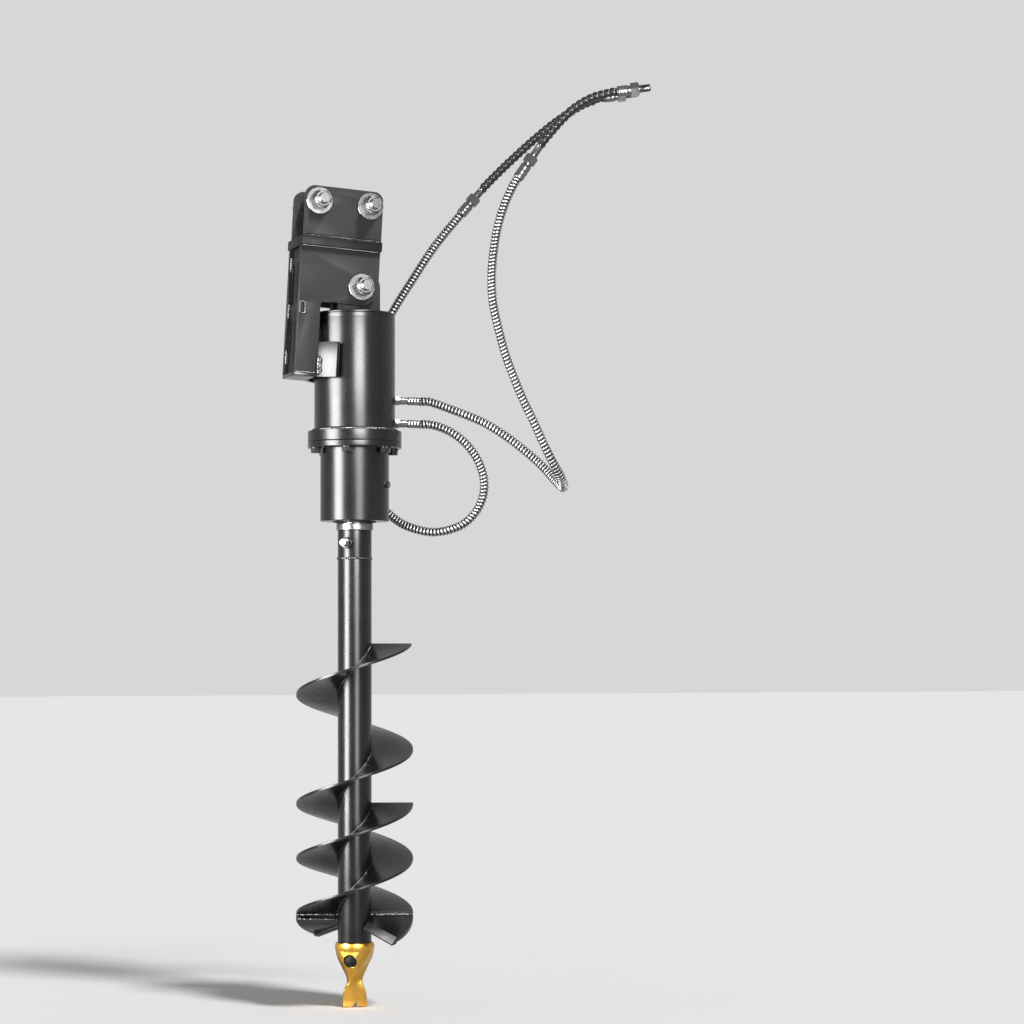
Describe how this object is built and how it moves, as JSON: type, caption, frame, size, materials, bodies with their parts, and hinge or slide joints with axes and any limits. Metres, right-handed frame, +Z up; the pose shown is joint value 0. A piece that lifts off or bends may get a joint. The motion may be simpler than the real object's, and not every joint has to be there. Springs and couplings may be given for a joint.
{
  "type": "earth auger drive",
  "caption": "Hydraulic earth drill: hitch frame, plumb-hanging motor and planetary gearbox, guarded hoses and a double-flighted auger with cutting blades and a pilot bit.",
  "frame": {"origin": "midway between the two hitch pins, on the middle plane of the hitch frame, where an excavator's arm takes hold of it", "axes": "+Z up along the plumb drive axis, +X to the right along the front of the frame towards the hoses, +Y away from the nut side of the pins"},
  "size_m": [0.7795, 0.4227, 2.0078],
  "materials": {
    "black_paint": "glossy black powder coat",
    "zinc": "bright zinc plate",
    "lead_wrap": "black spiral wrap",
    "bronze": "plain bronze",
    "cast_grey": "primed casting",
    "hose_guard": "bright flat-wire spring guard over a black hose",
    "gear_steel": "machined and oiled",
    "bright_steel": "ground bright",
    "rubber": "oil seal rubber",
    "wear_steel": "dark heat-treated steel",
    "gold_coat": "gold metallic coat on a casting"
  },
  "bodies": {
    "hitch_frame": {"ear_plate_front": "black_paint", "ear_plate_rear": "black_paint", "cross_plate": "black_paint", "side_plate_front": "black_paint", "side_plate_rear": "black_paint", "back_web": "black_paint", "foot_plate": "black_paint", "cradle_pad_front": "black_paint", "cradle_pad_rear": "black_paint", "hitch_pin_left": "zinc", "hitch_pin_right": "zinc", "pivot_bolt": "zinc", "hitch_nut_left": "zinc", "hitch_nut_right": "zinc", "pivot_nut": "zinc", "union_a": "zinc", "union_b": "zinc", "lead_a": "lead_wrap", "lead_b": "lead_wrap", "end_fitting_a": "zinc", "end_fitting_b": "zinc"},
    "drive_head": {"lug_front": "black_paint", "lug_rear": "black_paint", "pivot_bush": "bronze", "top_cap": "black_paint", "motor_housing": "black_paint", "upper_flange": "black_paint", "gearbox_housing": "black_paint", "motor_body": "cast_grey", "port_adapter_a": "zinc", "port_adapter_b": "zinc", "ferrule_a": "zinc", "ferrule_b": "zinc", "hose_a": "hose_guard", "hose_b": "hose_guard", "ring_gear": "gear_steel", "bearing_outer_race": "bright_steel", "oil_seal": "rubber", "oil_plug": "zinc"},
    "motor_spindle": {"motor_shaft": "gear_steel", "sun_gear": "gear_steel"},
    "planet_1": {"planet_gear_1": "gear_steel"},
    "planet_2": {"planet_gear_2": "gear_steel"},
    "planet_3": {"planet_gear_3": "gear_steel"},
    "bearing_cage": {"roller_cage": "bronze"},
    "auger": {"output_shaft": "gear_steel", "bearing_inner_race": "bright_steel", "shaft_collar": "bright_steel", "auger_hub": "black_paint", "hub_bolt": "zinc", "hub_nut": "zinc", "auger_tube": "black_paint", "main_flight": "black_paint", "second_flight": "black_paint", "cutting_blade_1": "black_paint", "cutting_blade_2": "black_paint", "tooth_bar_1": "wear_steel", "tooth_bar_2": "wear_steel", "pilot_bit": "gold_coat", "pilot_bolt": "wear_steel"}
  },
  "joints": [
    {"name": "drive_swing", "type": "hinge", "parent": "hitch_frame", "child": "drive_head", "pos_m": [0.03771, 0, -0.17638], "axis": [0, -1, 0], "range_deg": [-3.2, 90], "deforming": ["hose_a", "hose_b"]},
    {"name": "auger_spin", "type": "hinge", "parent": "drive_head", "child": "auger", "pos_m": [0.03771, 0, -0.17638], "axis": [0, 0, 1], "continuous": true},
    {"name": "motor_spin", "type": "hinge", "parent": "drive_head", "child": "motor_spindle", "pos_m": [0.03771, 0, -0.17638], "axis": [0, 0, 1], "continuous": true},
    {"name": "planet_spin_1", "type": "hinge", "parent": "auger", "child": "planet_1", "pos_m": [0.07371, 0, -0.54838], "axis": [0, 0, 1], "continuous": true},
    {"name": "planet_spin_2", "type": "hinge", "parent": "auger", "child": "planet_2", "pos_m": [0.01971, 0.03118, -0.54838], "axis": [0, 0, 1], "continuous": true},
    {"name": "planet_spin_3", "type": "hinge", "parent": "auger", "child": "planet_3", "pos_m": [0.01971, -0.03118, -0.54838], "axis": [0, 0, 1], "continuous": true},
    {"name": "cage_spin", "type": "hinge", "parent": "drive_head", "child": "bearing_cage", "pos_m": [0.03771, 0, -0.17638], "axis": [0, 0, 1], "continuous": true}
  ],
  "couplings": [
    {"joint": "motor_spin", "follows": "auger_spin", "ratio": 4},
    {"joint": "planet_spin_1", "follows": "auger_spin", "ratio": -3},
    {"joint": "planet_spin_2", "follows": "auger_spin", "ratio": -3},
    {"joint": "planet_spin_3", "follows": "auger_spin", "ratio": -3},
    {"joint": "cage_spin", "follows": "auger_spin", "ratio": 0.4488}
  ]
}
